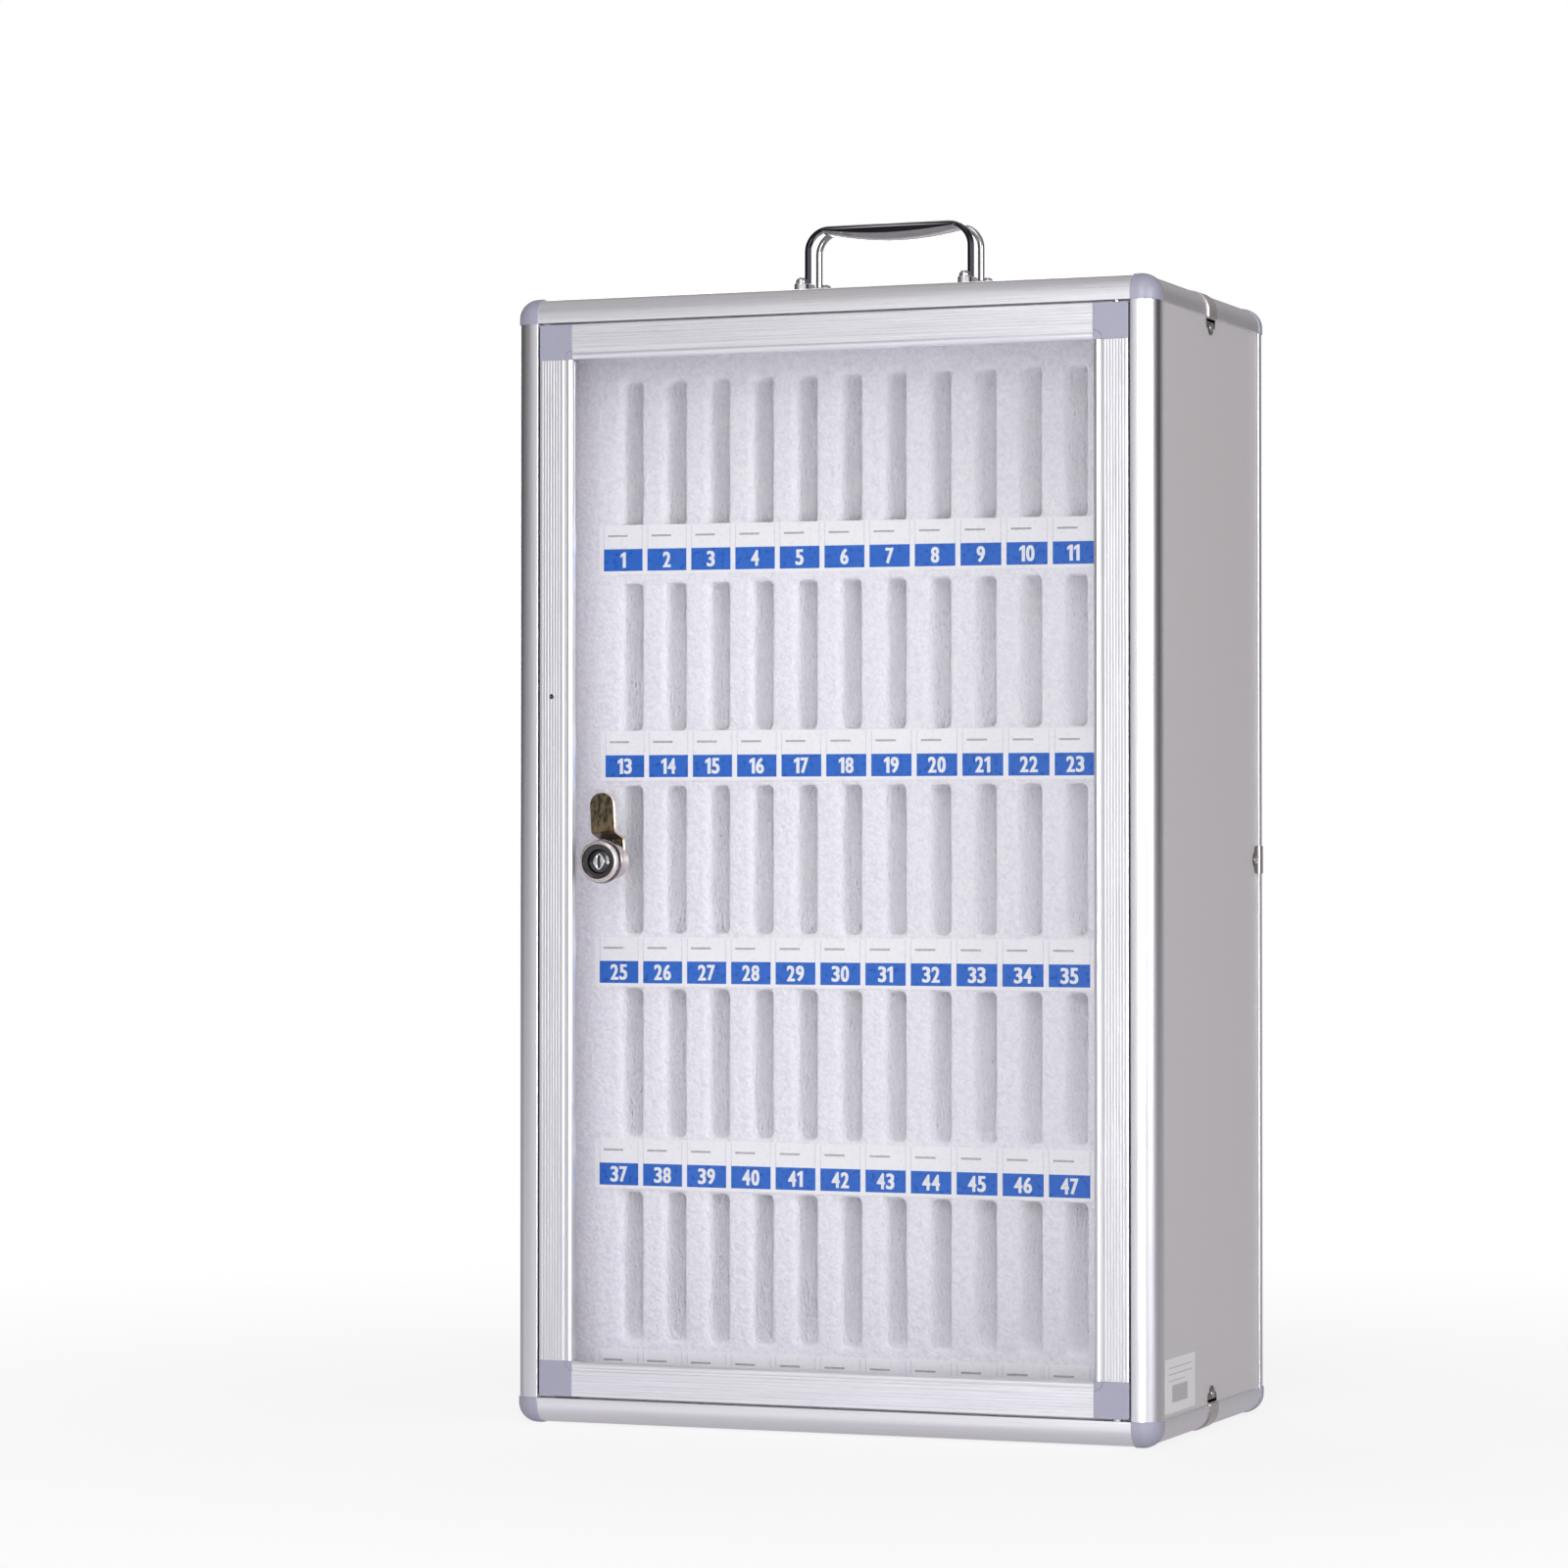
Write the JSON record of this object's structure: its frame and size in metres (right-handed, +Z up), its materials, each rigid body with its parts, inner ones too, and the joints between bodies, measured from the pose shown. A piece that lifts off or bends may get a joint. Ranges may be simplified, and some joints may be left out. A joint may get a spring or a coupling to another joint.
{
  "type": "cell phone locker box",
  "caption": "Upright aluminium-edged case with a glazed locking front door, slotted white foam for storing phones on edge, numbered labels and a chromed top handle.",
  "frame": {"origin": "middle of the footprint, on the surface that the case stands on", "axes": "+X to the right seen from the door, +Y towards the back, +Z up"},
  "size_m": [0.3592, 0.2052, 0.6453],
  "materials": {
    "edge_aluminium": "satin anodised",
    "door_aluminium": "satin anodised, finely ribbed",
    "corner_plastic": "moulded, blue-grey",
    "panel_skin": "smooth satin warm grey",
    "foam": "fine-celled white foam",
    "label_film": "self-adhesive film",
    "clear_pane": "clear acrylic sheet",
    "chrome": "polished",
    "bright_steel": "zinc-plated",
    "lock_face": "dark, worn bright at the key slot",
    "cam_brass": "dull yellow plating"
  },
  "bodies": {
    "carcass": {"front_rail_top": "edge_aluminium", "front_rail_bottom": "edge_aluminium", "front_post_left": "edge_aluminium", "front_post_right": "edge_aluminium", "side_rail_top_left": "edge_aluminium", "side_rail_top_right": "edge_aluminium", "side_rail_bottom_left": "edge_aluminium", "side_rail_bottom_right": "edge_aluminium", "back_rail_top": "edge_aluminium", "back_rail_bottom": "edge_aluminium", "back_post_left": "edge_aluminium", "back_post_right": "edge_aluminium", "corner_front_bottom_left": "corner_plastic", "corner_front_bottom_right": "corner_plastic", "corner_front_top_left": "corner_plastic", "corner_front_top_right": "corner_plastic", "corner_back_bottom_left": "corner_plastic", "corner_back_bottom_right": "corner_plastic", "corner_back_top_left": "corner_plastic", "corner_back_top_right": "corner_plastic", "top_panel": "panel_skin", "bottom_panel": "panel_skin", "left_panel": "panel_skin", "right_panel": "panel_skin", "back_panel": "panel_skin", "edge_clips": "bright_steel", "clip_rivets": "bright_steel", "foam_back_sheet": "foam", "foam_shelves": "foam", "foam_dividers_row_1": "foam", "foam_dividers_row_2": "foam", "foam_dividers_row_3": "foam", "foam_dividers_row_4": "foam", "foam_dividers_row_5": "foam", "label_strips": "label_film", "side_sticker": "label_film", "handle": "chrome", "handle_screws": "bright_steel", "handle_nuts": "bright_steel", "hinge_pin_top": "bright_steel", "hinge_pin_bottom": "bright_steel"},
    "door": {"door_rail_top": "door_aluminium", "door_rail_bottom": "door_aluminium", "door_stile_lock": "door_aluminium", "door_stile_hinge": "door_aluminium", "door_corner_top_left": "corner_plastic", "door_corner_top_right": "corner_plastic", "door_corner_bottom_left": "corner_plastic", "door_corner_bottom_right": "corner_plastic", "door_pane": "clear_pane", "lock_body": "chrome", "lock_washer": "bright_steel", "lock_nut": "bright_steel"},
    "lock": {"lock_plug": "lock_face", "lock_cam": "cam_brass", "cam_screw": "bright_steel"}
  },
  "joints": [
    {"name": "door_swing", "type": "hinge", "parent": "carcass", "child": "door", "pos_m": [0.1575, -0.0992, 0.3006], "axis": [0, 0, 1], "range_deg": [0, 120]},
    {"name": "lock_turn", "type": "hinge", "parent": "door", "child": "lock", "pos_m": [-0.1313, -0.09, 0.2996], "axis": [0, -1, 0], "range_deg": [-8, 82]}
  ]
}
